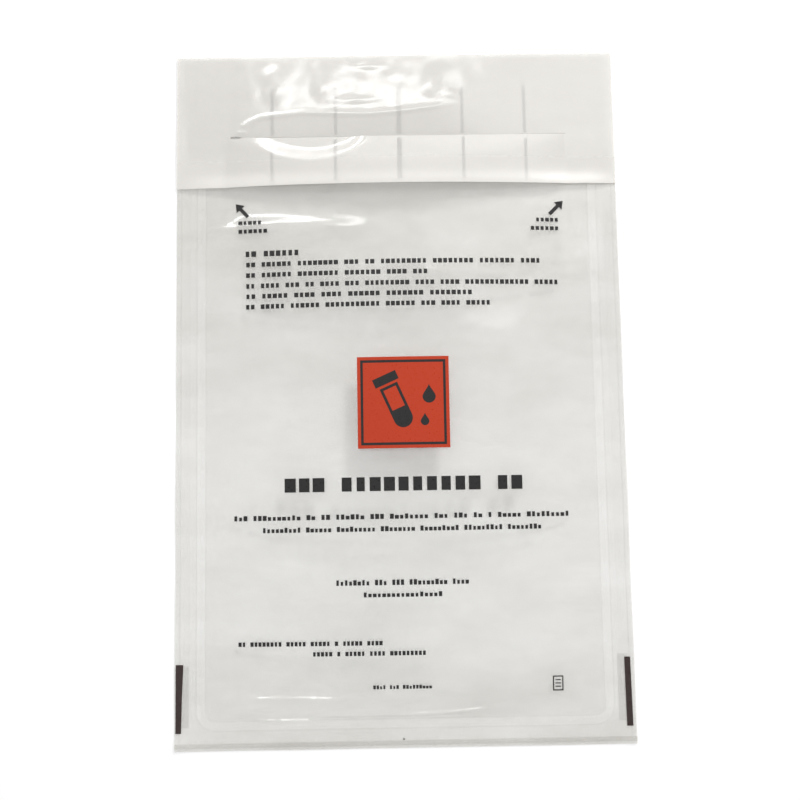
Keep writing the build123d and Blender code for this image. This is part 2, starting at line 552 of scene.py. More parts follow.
def smooth_step(tree, value, low, high):
    """0 where value is at low, 1 where it is at high, and eased between them."""
    node = tree.nodes.new("ShaderNodeMapRange")
    node.interpolation_type = "SMOOTHSTEP"
    tree.links.new(value, node.inputs["Value"])
    node.inputs["From Min"].default_value = low
    node.inputs["From Max"].default_value = high
    return node.outputs["Result"]


def flat_place_group():
    """Where a point lies on the flat bag, in millimetres from its middle."""
    if "Flat place" in bpy.data.node_groups:
        return bpy.data.node_groups["Flat place"]
    made, _, outside = group("Flat place", {}, ["X", "Y", "Place"])
    uv = made.nodes.new("ShaderNodeUVMap")
    uv.uv_map = "flat"
    place = made.nodes.new("ShaderNodeVectorMath")
    place.operation = "MULTIPLY_ADD"
    size = (2 * HALF_WIDTH / MM, (TOP_Y - BOTTOM_Y) / MM, 0)
    place.inputs[1].default_value = size
    place.inputs[2].default_value = (-size[0] / 2, -size[1] / 2, 0)
    made.links.new(uv.outputs["UV"], place.inputs[0])
    split = made.nodes.new("ShaderNodeSeparateXYZ")
    made.links.new(place.outputs[0], split.inputs[0])
    for axis in "XY":
        made.links.new(split.outputs[axis], outside.inputs[axis])
    made.links.new(place.outputs[0], outside.inputs["Place"])
    return made


def haze_group():
    """Slow streaky clouds and fine grain of a blown film, both 0 to 1."""
    if "Film haze" in bpy.data.node_groups:
        return bpy.data.node_groups["Film haze"]
    made, inside, outside = group(
        "Film haze", {"Place": None, "Cloud size": 0.02, "Grain size": 0.6}, ["Clouds", "Grain"])
    stretched = made.nodes.new("ShaderNodeVectorMath")
    stretched.operation = "MULTIPLY"
    stretched.inputs[1].default_value = (1, 2.2, 1)
    made.links.new(inside.outputs["Place"], stretched.inputs[0])
    for label, size, place in (("Clouds", "Cloud size", stretched.outputs[0]),
                               ("Grain", "Grain size", inside.outputs["Place"])):
        noise = made.nodes.new("ShaderNodeTexNoise")
        noise.inputs["Detail"].default_value = 4
        made.links.new(place, noise.inputs["Vector"])
        made.links.new(inside.outputs[size], noise.inputs["Scale"])
        made.links.new(noise.outputs["Fac"], outside.inputs[label])
    return made


def weld_group():
    """Masks of the welds: Weld over their whole width, Strip along the inner border,
    Line on it and Edge just above the free bottom edge."""
    if "Weld masks" in bpy.data.node_groups:
        return bpy.data.node_groups["Weld masks"]
    sizes = {"X": 0.0, "Y": 0.0, "Side weld": 12.0, "Bottom weld": 11.0, "Free side": 2.0,
             "Free bottom": 3.0, "Strip width": 3.5, "Corner": 4.0}
    made, inside, outside = group("Weld masks", sizes, ["Weld", "Strip", "Line", "Edge"])
    given = inside.outputs

    def do(operation, *values):
        return math_node(made, operation, *values)

    across = do("SUBTRACT", HALF_WIDTH / MM, do("ABSOLUTE", given["X"]))
    down = do("SUBTRACT", given["Y"], BOTTOM_Y / MM)
    past_side = do("SUBTRACT", do("ADD", given["Side weld"], given["Corner"]), across)
    past_low = do("SUBTRACT", do("ADD", given["Bottom weld"], given["Corner"]), down)
    corner_x = do("POWER", do("MAXIMUM", past_side, 0.0), 2.0)
    corner_y = do("POWER", do("MAXIMUM", past_low, 0.0), 2.0)
    depth = do("SUBTRACT", do("SQRT", do("ADD", corner_x, corner_y)), given["Corner"])
    begins = smooth_step(made, depth, -0.25, 0.25)
    past_free_side = do("SUBTRACT", across, given["Free side"])
    before_side = smooth_step(made, past_free_side, -0.2, 0.2)
    before_low = smooth_step(made, do("SUBTRACT", down, given["Free bottom"]), -0.3, 0.3)
    weld = do("MULTIPLY", begins, do("MULTIPLY_ADD", before_side, 0.5, 0.5))
    beyond_strip = do("SUBTRACT", depth, given["Strip width"])
    strip = do("MULTIPLY", weld, do("SUBTRACT", 1.0, smooth_step(made, beyond_strip, -0.25, 0.25)))
    near = do("MINIMUM", do("ABSOLUTE", depth), do("ABSOLUTE", beyond_strip))
    seam = do("MULTIPLY", smooth_step(made, near, 0.45, 0.05), before_low)
    side_line = smooth_step(made, do("ABSOLUTE", past_free_side), 0.5, 0.1)
    line = do("MAXIMUM", seam, side_line)
    edge = do("MULTIPLY", smooth_step(made, down, 0.8, 1.3), do("SUBTRACT", 1.0, before_low))
    for label, mask in (("Weld", weld), ("Strip", strip), ("Line", line), ("Edge", edge)):
        made.links.new(mask, outside.inputs[label])
    return made


def place_group(tree, made):
    """One use of a shader group."""
    node = tree.nodes.new("ShaderNodeGroup")
    node.node_tree = made
    return node


def flat_place_and_haze(tree, cloud_size, grain_size):
    """The two groups that every sheet's material begins with."""
    place = place_group(tree, flat_place_group())
    haze = place_group(tree, haze_group())
    tree.links.new(place.outputs["Place"], haze.inputs["Place"])
    haze.inputs["Cloud size"].default_value = cloud_size
    haze.inputs["Grain size"].default_value = grain_size
    return place, haze


def add_relief(tree, shader, height, distance, strength):
    """Fine relief in the shader's normal. Gives back that normal."""
    relief = tree.nodes.new("ShaderNodeBump")
    relief.inputs["Distance"].default_value = distance
    relief.inputs["Strength"].default_value = strength
    tree.links.new(height, relief.inputs["Height"])
    tree.links.new(relief.outputs[0], shader.inputs["Normal"])
    return relief.outputs[0]


def new_material(name):
    """An empty material with a Principled shader on its output."""
    material = bpy.data.materials.new(name)
    material.use_nodes = True
    tree = material.node_tree
    tree.nodes.clear()
    output = tree.nodes.new("ShaderNodeOutputMaterial")
    shader = tree.nodes.new("ShaderNodeBsdfPrincipled")
    tree.links.new(shader.outputs[0], output.inputs["Surface"])
    return material, tree, shader


def add_gloss(tree, shader, share, roughness, normal):
    """Mixes in a mirror-like sheen that doesn't fade where the surface is see-through."""
    output = next(n for n in tree.nodes if n.type == "OUTPUT_MATERIAL")
    gloss = tree.nodes.new("ShaderNodeBsdfGlossy")
    gloss.inputs["Color"].default_value = (1, 1, 1, 1)
    tree.links.new(roughness, gloss.inputs["Roughness"])
    tree.links.new(normal, gloss.inputs["Normal"])
    mix = tree.nodes.new("ShaderNodeMixShader")
    mix.inputs[0].default_value = share
    tree.links.new(shader.outputs[0], mix.inputs[1])
    tree.links.new(gloss.outputs[0], mix.inputs[2])
    tree.links.new(mix.outputs[0], output.inputs["Surface"])
    shader.inputs["Specular IOR Level"].default_value = 0.0


def mix_color(tree, share, first, second):
    """From the first colour to the second, as share goes from 0 to 1."""
    node = tree.nodes.new("ShaderNodeMix")
    node.data_type = "RGBA"
    tree.links.new(share, node.inputs["Factor"])
    for socket, value in ((node.inputs[6], first), (node.inputs[7], second)):
        if isinstance(value, bpy.types.NodeSocket):
            tree.links.new(value, socket)
        else:
            socket.default_value = (*value, 1)
    return node.outputs[2]


def hides_light(tree, sight, share):
    """Alpha that is sight for the eye, and sight times share for the light that passes through."""
    path = tree.nodes.new("ShaderNodeLightPath")
    light = math_node(tree, "MAXIMUM", path.outputs["Is Shadow Ray"], path.outputs["Is Diffuse Ray"])
    factor = math_node(tree, "MULTIPLY_ADD", light, share - 1, 1)
    return math_node(tree, "MULTIPLY", sight, factor, clamp=True)


def face_cover(cover):
    """What each of a sheet's two faces hides, when both together hide cover."""
    return 1 - math.sqrt(1 - cover)


def darker(color):
    """The colour of a sheet's thinner places."""
    return tuple(part * 0.97 for part in color)


def film_material(film):
    """Milky clear film, clearer in its welds, with a soft gloss."""
    material, tree, shader = new_material("clear_film")
    place, haze = flat_place_and_haze(tree, 0.028, 0.5)
    masks = place_group(tree, weld_group())
    for axis in "XY":
        tree.links.new(place.outputs[axis], masks.inputs[axis])
    masks.inputs["Side weld"].default_value = film.side_weld / MM
    masks.inputs["Bottom weld"].default_value = film.bottom_weld / MM - 0.8

    # What one face hides: milky clouds, clearer or denser from place to place
    face = face_cover(film.cover)
    clouds = math_node(tree, "MULTIPLY_ADD", haze.outputs["Clouds"], 1.0 * face, 0.5 * face)
    # Painted light and shade: the film is denser and greyer towards the top and clearer through the middle;
    # the Edge band just above the free bottom edge is partly milkier loose film and partly painted shade
    top = smooth_step(tree, place.outputs["Y"], 30, 62)
    middle = math_node(tree, "MULTIPLY", smooth_step(tree, place.outputs["Y"], 25, -30),
                       smooth_step(tree, place.outputs["Y"], -124, -95))
    density = math_node(tree, "MULTIPLY_ADD", masks.outputs["Weld"], -0.06, 1)
    for mask, more in ((masks.outputs["Strip"], -0.10), (masks.outputs["Line"], 0.14),
                       (masks.outputs["Edge"], 0.8), (top, 0.28), (middle, -0.26)):
        density = math_node(tree, "ADD", density, math_node(tree, "MULTIPLY", mask, more))
    sight = math_node(tree, "MULTIPLY", clouds, density, clamp=True)
    tree.links.new(hides_light(tree, sight, 0.6), shader.inputs["Alpha"])

    color = tuple(film.color)
    tinted = mix_color(tree, haze.outputs["Clouds"], darker(color), color)
    tree.links.new(tinted, shader.inputs["Base Color"])
    rough = math_node(tree, "MULTIPLY_ADD", haze.outputs["Grain"], 0.02, 0.12)
    tree.links.new(rough, shader.inputs["Roughness"])
    height = math_node(tree, "ADD", haze.outputs["Grain"],
                       math_node(tree, "MULTIPLY", masks.outputs["Line"], 1.5))
    normal = add_relief(tree, shader, height, 0.005 * MM, 0.12)
    add_gloss(tree, shader, 0.048, rough, normal)
    return material


def backing_material(color, cover, slot_half):
    """Warm white release film that lets a little show through, with painted shade along the cut of the
    slot.
    """
    material, tree, shader = new_material("release_backing")
    place, haze = flat_place_and_haze(tree, 0.04, 0.4)
    x, y = place.outputs["X"], place.outputs["Y"]

    def do(operation, *values):
        return math_node(tree, operation, *values)

    # Painted shade in the cut of the slot: a short dark dash at its left end and a fine dark line on the
    # right
    from_slot = do("ABSOLUTE", do("SUBTRACT", y, SLOT_Y / MM))
    shade_dash = do("MULTIPLY", smooth_step(tree, x, -62, -65), do("GREATER_THAN", x, -68))
    within = do("LESS_THAN", from_slot, do("MULTIPLY_ADD", shade_dash, 0.3, 0.14))
    fine_shade_line = do("MULTIPLY", smooth_step(tree, x, -30, 0), do("LESS_THAN", x, slot_half / MM))
    line = do("MAXIMUM", do("MULTIPLY", fine_shade_line, 0.45), do("MULTIPLY", shade_dash, 0.75))
    painted_cut_shade = do("MULTIPLY", within, line)
    plain = mix_color(tree, haze.outputs["Clouds"], darker(color), color)
    # The painted shade of the cut darkens the plain colour here
    tree.links.new(mix_color(tree, painted_cut_shade, plain, (0.30, 0.29, 0.27)), shader.inputs["Base Color"])

    face = face_cover(cover)
    sight = do("MULTIPLY_ADD", haze.outputs["Clouds"], 0.1 * face, 0.95 * face)
    tree.links.new(hides_light(tree, sight, 1.15), shader.inputs["Alpha"])
    worn = do("MULTIPLY", smooth_step(tree, y, 101, 87), 0.40)
    rough = do("ADD", do("MULTIPLY_ADD", haze.outputs["Grain"], 0.08, 0.09), worn)
    tree.links.new(rough, shader.inputs["Roughness"])
    normal = add_relief(tree, shader, haze.outputs["Grain"], 0.012 * MM, 0.4)
    add_gloss(tree, shader, 0.065, rough, normal)
    return material


def adhesive_material():
    """Milky tacky adhesive with a wet gloss."""
    material, tree, shader = new_material("adhesive")
    _, haze = flat_place_and_haze(tree, 0.15, 0.9)
    tinted = mix_color(tree, haze.outputs["Clouds"], (0.82, 0.81, 0.77), (0.90, 0.89, 0.86))
    tree.links.new(tinted, shader.inputs["Base Color"])
    alpha = math_node(tree, "MULTIPLY_ADD", haze.outputs["Clouds"], 0.16, 0.27)
    tree.links.new(alpha, shader.inputs["Alpha"])
    shader.inputs["Roughness"].default_value = 0.12
    add_relief(tree, shader, haze.outputs["Grain"], 0.05 * MM, 0.6)
    return material


def ink_material(name, color, mottle, alpha=1.0):
    """Printing ink on film, a little uneven, with the film's gloss."""
    material, tree, shader = new_material(name)
    noise = tree.nodes.new("ShaderNodeTexNoise")
    noise.inputs["Scale"].default_value = 900
    noise.inputs["Detail"].default_value = 4
    place = tree.nodes.new("ShaderNodeTexCoord")
    tree.links.new(place.outputs["Object"], noise.inputs["Vector"])
    lighter = tuple(min(1, c + mottle * (0.3 + c)) for c in color)
    tree.links.new(mix_color(tree, noise.outputs["Fac"], color, lighter), shader.inputs["Base Color"])
    rough = math_node(tree, "MULTIPLY_ADD", noise.outputs["Fac"], 0.15, 0.22)
    tree.links.new(rough, shader.inputs["Roughness"])
    shader.inputs["Specular IOR Level"].default_value = 0.3
    shader.inputs["Alpha"].default_value = alpha
    return material


class BAG_OT_films(Operator):
    """Makes the front, middle and back films"""

    bl_idname = "specimen_bag.films"
    bl_label = "Films"

    def execute(self, context):
        film = context.scene.bag_film
        weld_x = HALF_WIDTH - film.side_weld
        slot = slot_ends(film)
        xs = lines_between(-HALF_WIDTH, HALF_WIDTH, film.grid, [-weld_x, weld_x, *slot])
        weld_y = BOTTOM_Y + film.bottom_weld
        ys = lines_between(BOTTOM_Y, TOP_Y, film.grid, [*BEND_ROWS, weld_y, *SEAM_ROWS])
        clear = film_material(film)
        front = sheet_mesh("front_film_sheet", xs, ys, front_place(film, 0.3 * MM, 1), FILM, slot)
        coarse_x = lines_between(-HALF_WIDTH, HALF_WIDTH, 2 * film.grid, [-weld_x, weld_x])
        coarse_y = lines_between(BOTTOM_Y, TOP_Y, 2 * film.grid, [*BEND_ROWS, weld_y])
        middle = sheet_mesh("middle_film_sheet", coarse_x, coarse_y, middle_place(film, 0.1 * MM, 2), FILM)
        back_y = lines_between(BOTTOM_Y, BACK_HIGH.y, 2 * film.grid, [weld_y])
        back = sheet_mesh("back_film_sheet", coarse_x, back_y, back_place(0, 3), FILM)
        for made in (front, middle, back):
            made.data.materials.append(clear)
        bends(front)
        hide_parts("front_film", "front_flap_film")
        bends(middle)
        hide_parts("middle_film", "middle_flap_film")
        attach(back, "pouch")
        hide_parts("back_film")
        return {"FINISHED"}


class BAG_OT_adhesive(Operator):
    """Makes the two adhesive bands under the backing"""

    bl_idname = "specimen_bag.adhesive"
    bl_label = "Adhesive bands"

    def execute(self, context):
        film = context.scene.bag_film
        tacky = adhesive_material()
        thickness = ADHESIVE_TOP_HIGH.z - ADHESIVE_TOP_LOW.z
        xs = lines_between(ADHESIVE_LOW.x, ADHESIVE_HIGH.x, film.grid, slot_ends(film))
        place = raised(front_place(film, 0, 1), ADHESIVE_STEP + 0.02 * MM)
        lower_y = lines_between(ADHESIVE_LOW.y, SLOT_Y - 0.4 * MM, film.grid, BEND_ROWS)
        lower = sheet_mesh("adhesive_lower_band", xs, lower_y, place, thickness)
        upper_y = lines_between(SLOT_Y + 0.4 * MM, ADHESIVE_TOP_HIGH.y, film.grid, BEND_ROWS)
        upper = sheet_mesh("adhesive_upper_band", xs, upper_y, place, thickness)
        for made, node in ((lower, "adhesive_lower"), (upper, "adhesive_upper")):
            made.data.materials.append(tacky)
            bends(made)
            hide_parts(node)
        return {"FINISHED"}


class BAG_OT_backing(Operator):
    """Makes the white release backing, cut along the slot"""

    bl_idname = "specimen_bag.backing"
    bl_label = "Release backing"

    def execute(self, context):
        film, backing = context.scene.bag_film, context.scene.bag_backing
        slot, thickness = slot_ends(film), LINER_TOP_HIGH.z - LINER_TOP_LOW.z
        xs = lines_between(-HALF_WIDTH, HALF_WIDTH, film.grid, slot)
        ys = lines_between(BACKING_Y, TOP_Y, film.grid * 0.4, BEND_ROWS)
        place = backing_place(film, backing.edge_lift)
        sheet = sheet_mesh("release_backing_sheet", xs, ys, place, thickness, slot)
        white = backing_material(tuple(backing.color), backing.cover, film.slot_half_length)
        sheet.data.materials.append(white)
        bends(sheet)
        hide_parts("liner_lower", "liner_upper")
        return {"FINISHED"}


def rectangle(x0, y0, x1, y1):
    """The outline of a rectangle between two opposite corners."""
    return [(x0, y0), (x1, y0), (x1, y1), (x0, y1)]


def circle(x, y, radius, count=48):
    """The outline of a circle."""
    turns = [2 * math.pi * k / count for k in range(count)]
    return [(x + radius * math.cos(t), y + radius * math.sin(t)) for t in turns]


def spaced(outline, step):
    """The outline with points no further than step apart."""
    out = []
    for (x0, y0), (x1, y1) in zip(outline, outline[1:] + outline[:1]):
        count = max(1, math.ceil(math.hypot(x1 - x0, y1 - y0) / step))
        out += [(x0 + (x1 - x0) * k / count, y0 + (y1 - y0) * k / count) for k in range(count)]
    return out


def inside_outlines(points, outlines):
    """True for each point that an odd number of the outlines go round."""
    x, y = points[:, 0], points[:, 1]
    odd = np.zeros(len(points), bool)
    for outline in outlines:
        for (x0, y0), (x1, y1) in zip(outline, outline[1:] + outline[:1]):
            if y0 != y1:
                crosses = (y0 > y) != (y1 > y)
                odd ^= crosses & (x < x0 + (y - y0) * (x1 - x0) / (y1 - y0))
    return odd


def filled(outlines, step):
    """Triangles that fill the outlines, with a hole for an outline that lies in another. All in mm."""
    points, edges = [], []
    for outline in outlines:
        ring = spaced(outline, step)
        first = len(points)
        points += ring
        edges += [(first + k, first + (k + 1) % len(ring)) for k in range(len(ring))]
    low, high = np.min(points, 0), np.max(points, 0)
    inner = [
        (x, y)
        for x in np.arange(low[0] + step / 2, high[0], step)
        for y in np.arange(low[1] + step / 2, high[1], step)
    ]
    vertices, _, faces, _, _, _ = delaunay_2d_cdt([Vector(p) for p in points + inner], edges, [], 0, 1e-5)
    vertices = np.array([tuple(v) for v in vertices])
    faces = np.array([tuple(f) for f in faces])
    faces = faces[inside_outlines(vertices[faces].mean(1), outlines)]
    used, numbers = np.unique(faces, return_inverse=True)
    return vertices[used], numbers.reshape(-1, 3).tolist()


def printed(name, shapes, carrier, material, lift=0.02 * MM, thickness=0.02 * MM, step=1.2):
    """Ink in the given shapes on top of carrier. Each shape is a list of outlines in mm."""
    depsgraph = bpy.context.evaluated_depsgraph_get()
    tree = BVHTree.FromObject(carrier, depsgraph)
    points, faces = [], []
    for outlines in shapes:
        vertices, triangles = filled(outlines, step)
        first = len(points)
        for x, y in vertices.tolist():
            hit = tree.ray_cast(Vector((x * MM, y * MM, 0.1)), Vector((0, 0, -1)))[0]
            if hit is None:
                raise RuntimeError(f"{name} reaches past {carrier.name} at {x:.1f}, {y:.1f} mm")
            points.append((x * MM, y * MM, hit.z + lift))
        faces += [tuple(first + i for i in face) for face in triangles]
    made = shell(name, points, faces, thickness)
    made.data.materials.append(material)
    return made


def word_blocks(x0, x1, y, height, words, tall=1.0):
    """One line of plain blocks in groups. The words give the count of blocks in each group."""
    draw = np.random.default_rng(int(100 + abs(y) * 10))
    pitch = (x1 - x0) / (sum(words) + len(words) - 1)
    shapes, at = [], x0
    for count in words:
        for k in range(count):
            width = pitch * draw.uniform(0.55, 0.84)
            top = height if k == 0 or draw.random() < tall else 0.74 * height
            left = at + k * pitch + (pitch - width) * 0.4
            shapes.append([rectangle(left, y, left + width, y + top)])
        at += (count + 1) * pitch
    return shapes


def arrow(tail, tip, shaft, head_width, head_length):
    """The outline of a straight arrow from tail to tip."""
    along_x, along_y = tip[0] - tail[0], tip[1] - tail[1]
    length = math.hypot(along_x, along_y)
    ux, uy = along_x / length, along_y / length
    neck = (tip[0] - ux * head_length, tip[1] - uy * head_length)

    def off(point, distance):
        return (point[0] - uy * distance, point[1] + ux * distance)

    return [
        off(tail, -shaft / 2), off(neck, -shaft / 2), off(neck, -head_width / 2), tip,
        off(neck, head_width / 2), off(neck, shaft / 2), off(tail, shaft / 2),
    ]


# Lines of plain blocks: left end, right end, lower side and height in millimetres, then blocks per
# word, and for mixed heights the share of tall blocks
BLOCK_LINES = {
    "print_pinch_captions": [
        (-64.9, -55.0, 68.6, 1.6, (5,)),
        (-64.9, -52.6, 65.0, 1.6, (6,)),
        (56.4, 66.1, 68.2, 1.6, (5,)),
        (54.1, 66.1, 64.6, 1.6, (6,)),
    ],
    "print_instructions": [
        (-62.1, -39.6, 55.1, 2.3, (2, 6)),
        (-61.7, 57.9, 50.8, 1.9, (2, 6, 8, 3, 2, 9, 8, 7, 4)),
        (-61.7, 12.1, 46.4, 1.9, (2, 6, 8, 7, 4, 3)),
        (-61.7, 64.9, 41.9, 1.9, (2, 4, 3, 2, 4, 3, 9, 4, 4, 13, 5)),
        (-61.7, 29.8, 37.6, 1.9, (2, 5, 4, 4, 6, 7, 8)),
        (-61.7, 37.0, 33.3, 1.9, (2, 5, 6, 11, 6, 3, 4, 5)),
    ],
    "print_title": [(-46.6, 48.3, -40.5, 5.5, (3, 10, 2))],
    "print_notes": [
        (-66.6, 66.2, -51.4, 2.0, (3, 10, 2, 2, 6, 3, 8, 3, 3, 2, 1, 5, 9), 0.4),
        (-55.1, 54.9, -56.2, 2.0, (9, 6, 9, 8, 9, 9, 8), 0.3),
        (-26.4, 25.7, -77.0, 2.1, (8, 3, 3, 9, 4), 0.35),
        (-15.8, 15.3, -81.6, 1.9, (17,), 0.3),
        (-64.9, -8.3, -100.1, 1.7, (2, 8, 5, 5, 1, 5, 4)),
        (-35.8, 8.5, -104.1, 1.7, (5, 1, 5, 4, 9)),
        (-12.5, 10.5, -117.1, 1.5, (4, 3, 9), 0.5),
    ],
}

# The other marks: arrows as (tail, tip), the sheet mark as (x, y, width, height), the dot as
# (x, y, radius) and the middle of the square, in millimetres
ARROWS = [((-60.8, 72.0), (-65.9, 77.6)), ((62.3, 71.4), (68.0, 77.0))]
ARROW_SHAFT, ARROW_HEAD_WIDTH, ARROW_HEAD_LENGTH = 1.5, 4.4, 3.0
SHEET_MARK = (57.6, -119.0, 4.1, 5.8)
DOT = (-0.8, -136.4, 0.35)
SQUARE_CENTRE = (1.2, -5.6)


def sheet_mark(x, y, width, height):
    """A small outline of a paper sheet with three lines on it."""
    wall = 0.45
    shapes = [[rectangle(x, y, x + width, y + height),
               rectangle(x + wall, y + wall, x + width - wall, y + height - wall)]]
    for k in range(3):
        line_y = y + height * (0.25 + 0.22 * k)
        shapes.append([rectangle(x + 1, line_y, x + width - 1, line_y + 0.4)])
    return shapes


class BAG_OT_print(Operator):
    """Makes the dark printed marks on the front film"""

    bl_idname = "specimen_bag.print"
    bl_label = "Printed marks"

    def execute(self, context):
        film_sheet = bpy.data.objects["front_film_sheet"]
        ink = ink_material("black_ink", tuple(context.scene.bag_print.ink), 0.03)
        head = ARROW_SHAFT, ARROW_HEAD_WIDTH, ARROW_HEAD_LENGTH
        marks = {"print_pinch_arrows": [[arrow(tail, tip, *head)] for tail, tip in ARROWS]}
        for name, lines in BLOCK_LINES.items():
            marks[name] = [shape for line in lines for shape in word_blocks(*line)]
        marks["print_sheet_mark"] = sheet_mark(*SHEET_MARK)
        marks["print_dot"] = [[circle(*DOT, 16)]]
        for name, shapes in marks.items():
            made = printed(name, shapes, film_sheet, ink)
            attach(made, "pouch")
        return {"FINISHED"}


def drop(x, y, radius):
    """A drop with its point up."""
    turns = [2 * math.pi * k / 40 for k in range(40)]
    out = []
    for t in turns:
        rise = max(0.0, math.sin(t))
        out.append((x + radius * math.cos(t) * (1 - rise ** 2 * 0.55) * (1 - rise ** 8),
                    y + radius * (math.sin(t) + 0.9 * rise ** 3)))
    return out


def turned(outline, x, y, degrees):
    """The outline turned about its origin and then moved to x, y."""
    cos, sin = math.cos(math.radians(degrees)), math.sin(math.radians(degrees))
    return [(x + px * cos - py * sin, y + px * sin + py * cos) for px, py in outline]


def sample_tube(x, y):
    """A leaning sample tube: a round-ended wall with liquid in its lower part, and a cap."""
    half, length, wall, lean = 3.8, 19.0, 1.1, 24
    arc = np.linspace(math.pi, 2 * math.pi, 17)
    outer = [(half * math.cos(t), -length / 2 + half + half * math.sin(t)) for t in arc]
    outer += [(half, length / 2 - 1.2), (-half, length / 2 - 1.2)]
    air = rectangle(-half + wall, -1.5, half - wall, length / 2 - 2.3)
    cap = rectangle(-half - 1.2, length / 2 - 0.2, half + 1.2, length / 2 + 3.4)
    tube = [turned(outline, x, y, lean) for outline in (outer, air)]
    return [tube, [turned(cap, x, y, lean)]]


class BAG_OT_square(Operator):
    """Makes the printed square with a plain sample tube on it"""

    bl_idname = "specimen_bag.square"
    bl_label = "Printed square"

    def execute(self, context):
        settings = context.scene.bag_print
        film_sheet = bpy.data.objects["front_film_sheet"]
        half = settings.square_side / MM / 2
        x, y = SQUARE_CENTRE

        def inset(by):
            return rectangle(x - half + by, y - half + by, x + half - by, y + half - by)

        orange = ink_material("orange_ink", tuple(settings.square), 0.04)
        square = printed("print_square", [[inset(0)]], film_sheet, orange)
        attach(square, "pouch")
        ink = bpy.data.materials["black_ink"]
        drops = [[drop(x + 10.2, y + 2.2, 2.6)], [drop(x + 8.4, y - 7.6, 1.7)]]
        shapes = [[inset(1.3), inset(2.3)], *sample_tube(x - 2.5, y - 1.0), *drops]
        motif = printed("print_square_motif", shapes, film_sheet, ink, lift=0.05 * MM)
        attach(motif, "pouch")
        return {"FINISHED"}


# The guide lines' places across the bag, their ends and their width, in millimetres
GUIDE_LINES = [-50.8, -24.7, 1.4, 27.5, 53.2]
GUIDE_LOW, GUIDE_HIGH, GUIDE_WIDTH = 85.8, 126.2, 1.3


class BAG_OT_guides(Operator):
    """Makes the fold guide lines on the two adhesive bands"""

    bl_idname = "specimen_bag.guides"
    bl_label = "Fold guide lines"

    def execute(self, context):
        ink = bpy.data.materials["black_ink"]
        slot = SLOT_Y / MM
        middle = min(GUIDE_LINES, key=abs)
        halves = {x: GUIDE_WIDTH * (0.75 if x == middle else 0.5) for x in GUIDE_LINES}
        for name, low, high in (("lower", GUIDE_LOW, slot - 2.6), ("upper", slot + 0.8, GUIDE_HIGH)):
            shapes = [[rectangle(x - half, low, x + half, high)] for x, half in halves.items()]
            carrier = bpy.data.objects[f"adhesive_{name}_band"]
            made = printed(f"print_fold_guides_{name}", shapes, carrier, ink, lift=0.01 * MM, step=0.25)
            bends(made)
        return {"FINISHED"}


# The ink of the edge marks, and a faint brown on the back film that paints their soft shadow
BROWN = (0.020, 0.007, 0.006)
MARK_SHADOW_BROWN = (0.10, 0.07, 0.065)


class BAG_OT_edge_marks(Operator):
    """Makes the two dark print marks on the side welds"""

    bl_idname = "specimen_bag.edge_marks"
    bl_label = "Edge marks"

    def execute(self, context):
        film_sheet = bpy.data.objects["front_film_sheet"]
        brown = ink_material("brown_ink", BROWN, 0.10)
        left = [(-89.45, -106.8), (-89.45, -133.0), (-87.3, -133.0), (-87.0, -120), (-86.5, -106.8)]
        right = [(86.0, -106.6), (86.2, -133.0), (88.6, -133.0), (88.3, -106.6)]
        made = printed("print_edge_marks", [[left], [right]], film_sheet, brown, step=0.8)
        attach(made, "pouch")

        # Painted shadow: faint brown copies on the back film beside the edge marks
        shadow_ink = ink_material("faint_ink", MARK_SHADOW_BROWN, 0.10, alpha=0.08)
        shapes = [[rectangle(-87.6, -131, -84.4, -107.4)], [rectangle(83.2, -131, 87.2, -105.4)]]
        mark_shadow = printed("print_edge_marks_inner", shapes, bpy.data.objects["back_film_sheet"], shadow_ink)
        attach(mark_shadow, "pouch")
        return {"FINISHED"}


def soft_lamp(name, place, aim, size, power):
    """A rectangular lamp at place that faces aim."""
    data = bpy.data.lights.new(name, "AREA")
    data.shape = "RECTANGLE"
    data.size, data.size_y = size
    data.energy = power
    lamp = bpy.data.objects.new(name, data)
    lamp.location = place
    lamp.rotation_mode = "QUATERNION"
    lamp.rotation_quaternion = (Vector(place) - Vector(aim)).to_track_quat("Z", "Y")
    bpy.context.scene.collection.objects.link(lamp)
    return lamp


def lamp_place(from_vertical, aside, distance):
    """A place beyond the bag's top edge, by its angles from straight above, in degrees."""
    tilt, turn = math.radians(from_vertical), math.radians(aside)
    return (distance * math.sin(turn), 0.1 + distance * math.sin(tilt), distance * math.cos(tilt))


def seen_or_mirrored(tree):
    """1 for rays from the camera and for rays mirrored or let through, and 0 for light on surfaces."""
    path = tree.nodes.new("ShaderNodeLightPath")
    either = math_node(tree, "MAXIMUM", path.outputs["Is Camera Ray"], path.outputs["Is Glossy Ray"])
    return math_node(tree, "MAXIMUM", either, path.outputs["Is Transmission Ray"])


# The lamps as (name, angle from straight above, angle aside, aim, size), in degrees and metres
LAMPS = [
    ("key", 56, 25, (0, 0.05, 0), (0.36, 0.24)),
    ("window", 24, -1, (0, 0.12, 0), (0.30, 0.11)),
    ("left", 32, -15.5, (-0.03, 0.09, 0), (0.42, 0.12)),
    ("side", 21, 17, (0.03, 0.12, 0), (0.36, 0.36)),
]
LAMP_DISTANCE = 1.2

# The camera's azimuth, elevation and roll in degrees, and the place that it looks at
CAMERA_ANGLES = -4.05, 83.74, 3.09
CAMERA_AIM = (-0.09 * MM, -4.0 * MM, 0)


